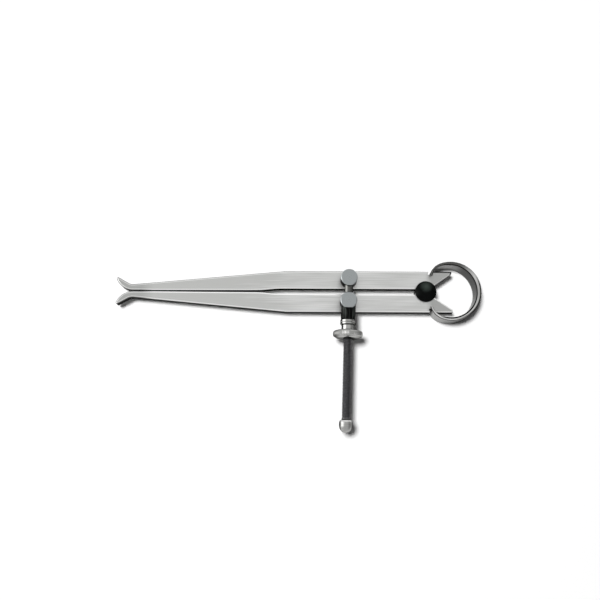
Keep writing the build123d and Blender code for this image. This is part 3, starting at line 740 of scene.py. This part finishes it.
nut_plate = turned_finish("nut_plate", "adjusting_nut", "Y", NUT_COLOURS, NUT_ROUGHNESS, NUT_RINGS_PER_MM)
# Painted shade in the neck's two corners, on the disc's left end, and on the nut's sides.
for corner in (collar_end, nut_neck_end):
    from_corner = distance_from(nut_plate, "Y", screw_origin[1] + corner)
    corner_shade = fade_out(nut_plate, from_corner, *NUT_CORNER_REACH, NUT_CORNER_SHARE)
    recolour(nut_plate, corner_shade, NUT_SHADE_COLOUR)
across_nut = distance_along(nut_plate, "X", middle("adjusting_nut")[0])
nut_side_shade = fade_in(nut_plate, facing(nut_plate, "X"), *NUT_SIDE_FACING)
recolour(nut_plate, fade_out(nut_plate, across_nut, *NUT_LEFT_SHADE_X, NUT_LEFT_SHADE_SHARE), NUT_LEFT_SHADE_COLOUR)
recolour(nut_plate, nut_side_shade, NUT_SHADE_COLOUR)
adjusting_nut = make_piece(
    "adjusting_nut_knurled",
    turned_points(nut_profile[:, 0], nut_profile[:, 1][:, None] - knurl, nut_angles),
    grid_faces(len(nut_profile), NUT_SIDES, close_rows=True, close_columns=True),
    nut_plate,
)
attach(adjusting_nut, "nut")
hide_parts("adjusting_nut")

# Studio: a plain white floor, a soft lamp nearly overhead that gives the shadow, and a pale sky that the
# metal mirrors: brighter behind the tool and low on its left, and dimmer low on its right.
FLOOR_SIZE = 4.0  # in metres, as the lamp's distance and size are
FLOOR_COLOUR = (0.97, 0.97, 0.97, 1.0)
FLOOR_LIFT = 0.02  # light of its own, added where it is seen directly
KEY_DIRECTION = (-0.24, 0.11, 1.0)
KEY_DISTANCE = 3.0
KEY_SIZE = 0.8
KEY_POWER = 94.0  # in watts
WHITE = (1.0, 1.0, 1.0, 1.0)
SKY_FILL = 0.05  # light of the sky on matt surfaces
SKY_LEVEL = 0.78  # and in mirrors
SKY_SIDES = (("Y", 0.4, 0.8, 0.32), ("X", 0.4, 0.9, -0.45))  # axis, start, full part, added light
SKY_LEFT_LIGHT, SKY_LEFT_X = 2.3, (-0.5, -0.85)  # added low on the left, its start and its full part
SKY_LEFT_Y, SKY_LEFT_REACH = 0.08, (0.13, 0.45)  # its middle, and how far from there it is full and ends


def seen_directly(tree):
    """The ray's node, and a number that is 1 for camera, mirror and clear rays, 0 for diffuse light."""
    ray = add_node(tree, "ShaderNodeLightPath", {})
    seen = math_node(tree, "MAXIMUM", ray.outputs["Is Camera Ray"], ray.outputs["Is Glossy Ray"])
    return ray, math_node(tree, "MAXIMUM", seen, ray.outputs["Is Transmission Ray"])


bpy.ops.mesh.primitive_plane_add(size=FLOOR_SIZE)
floor = bpy.context.object
floor.name = "floor"
paper = bpy.data.materials.new("floor_paper")
paper.use_nodes = True
paper.node_tree.nodes.remove(paper.node_tree.nodes["Principled BSDF"])
_, seen = seen_directly(paper)
lit = add_node(paper, "ShaderNodeBsdfDiffuse", {"Color": FLOOR_COLOUR})
lift = add_node(paper, "ShaderNodeEmission", {"Strength": math_node(paper, "MULTIPLY", seen, FLOOR_LIFT)})
both = add_node(paper, "ShaderNodeAddShader", {0: lit.outputs["BSDF"], 1: lift.outputs["Emission"]})
paper_output = paper.node_tree.nodes["Material Output"]
paper.node_tree.links.new(both.outputs["Shader"], paper_output.inputs["Surface"])
floor.data.materials.append(paper)

world = bpy.data.worlds.new("studio")
bpy.context.scene.world = world
world.use_nodes = True
world.node_tree.nodes.clear()
ray, seen = seen_directly(world)
direction = add_node(world, "ShaderNodeTexCoord", {}).outputs["Generated"]
parts = add_node(world, "ShaderNodeSeparateXYZ", {"Vector": direction})
mirror_level = SKY_LEVEL
for axis, start, full, added in SKY_SIDES:
    side_light = fade_in(world, parts.outputs[axis], start, full, added)
    mirror_level = math_node(world, "ADD", mirror_level, side_light)
left_light = fade_in(world, parts.outputs["X"], *SKY_LEFT_X, SKY_LEFT_LIGHT)
aside = math_node(world, "ABSOLUTE", math_node(world, "SUBTRACT", parts.outputs["Y"], SKY_LEFT_Y))
left_share = fade_out(world, aside, *SKY_LEFT_REACH)
mirror_level = math_node(world, "MULTIPLY_ADD", left_light, left_share, mirror_level)
fill, mirrored, white = (
    add_node(world, "ShaderNodeBackground", {"Color": WHITE, "Strength": strength}).outputs[0]
    for strength in (SKY_FILL, mirror_level, 1.0)
)
lighting = add_node(world, "ShaderNodeMixShader", {0: seen, 1: fill, 2: mirrored}).outputs[0]
camera_ray = ray.outputs["Is Camera Ray"]
background = add_node(world, "ShaderNodeMixShader", {0: camera_ray, 1: lighting, 2: white}).outputs[0]
add_node(world, "ShaderNodeOutputWorld", {"Surface": background})

lamp = bpy.data.lights.new("key_lamp", "AREA")
lamp.shape, lamp.size, lamp.energy = "DISK", KEY_SIZE, KEY_POWER
key = bpy.data.objects.new("key_lamp", lamp)
bpy.context.scene.collection.objects.link(key)
towards = Vector(KEY_DIRECTION).normalized()
key.location = towards * KEY_DISTANCE
key.rotation_mode = "QUATERNION"
key.rotation_quaternion = towards.to_track_quat("Z", "Y")
key.visible_glossy = False

# Camera: a normal lens that looks down on the lying tool, leaning a little towards the screw's side.
# The image is square, and its middle falls on the aim point.
CAMERA_AIM = (0.88, 22.3, 7.25)
CAMERA_DISTANCE = 367.35
CAMERA_LEAN = radians(12.0)
CAMERA_ROLL = radians(0.27)
CAMERA_LENS, SENSOR_WIDTH = 45.6, 36.0
CAMERA_CLIP = (0.01, 10.0)  # in metres
back = Vector((0, -sin(CAMERA_LEAN), cos(CAMERA_LEAN)))
level_up = Vector((0, cos(CAMERA_LEAN), sin(CAMERA_LEAN)))
level_right = Vector((1, 0, 0))
right = cos(CAMERA_ROLL) * level_right + sin(CAMERA_ROLL) * level_up
up = cos(CAMERA_ROLL) * level_up - sin(CAMERA_ROLL) * level_right
camera_data = bpy.data.cameras.new("camera")
camera_data.lens, camera_data.sensor_width = CAMERA_LENS, SENSOR_WIDTH
camera_data.clip_start, camera_data.clip_end = CAMERA_CLIP
camera = bpy.data.objects.new("camera", camera_data)
bpy.context.scene.collection.objects.link(camera)
stand = Matrix((right, up, back)).transposed().to_4x4()
stand.translation = (Vector(CAMERA_AIM) + back * CAMERA_DISTANCE) * MM
camera.matrix_world = stand
bpy.context.scene.camera = camera
bpy.context.scene.view_settings.view_transform = "Standard"
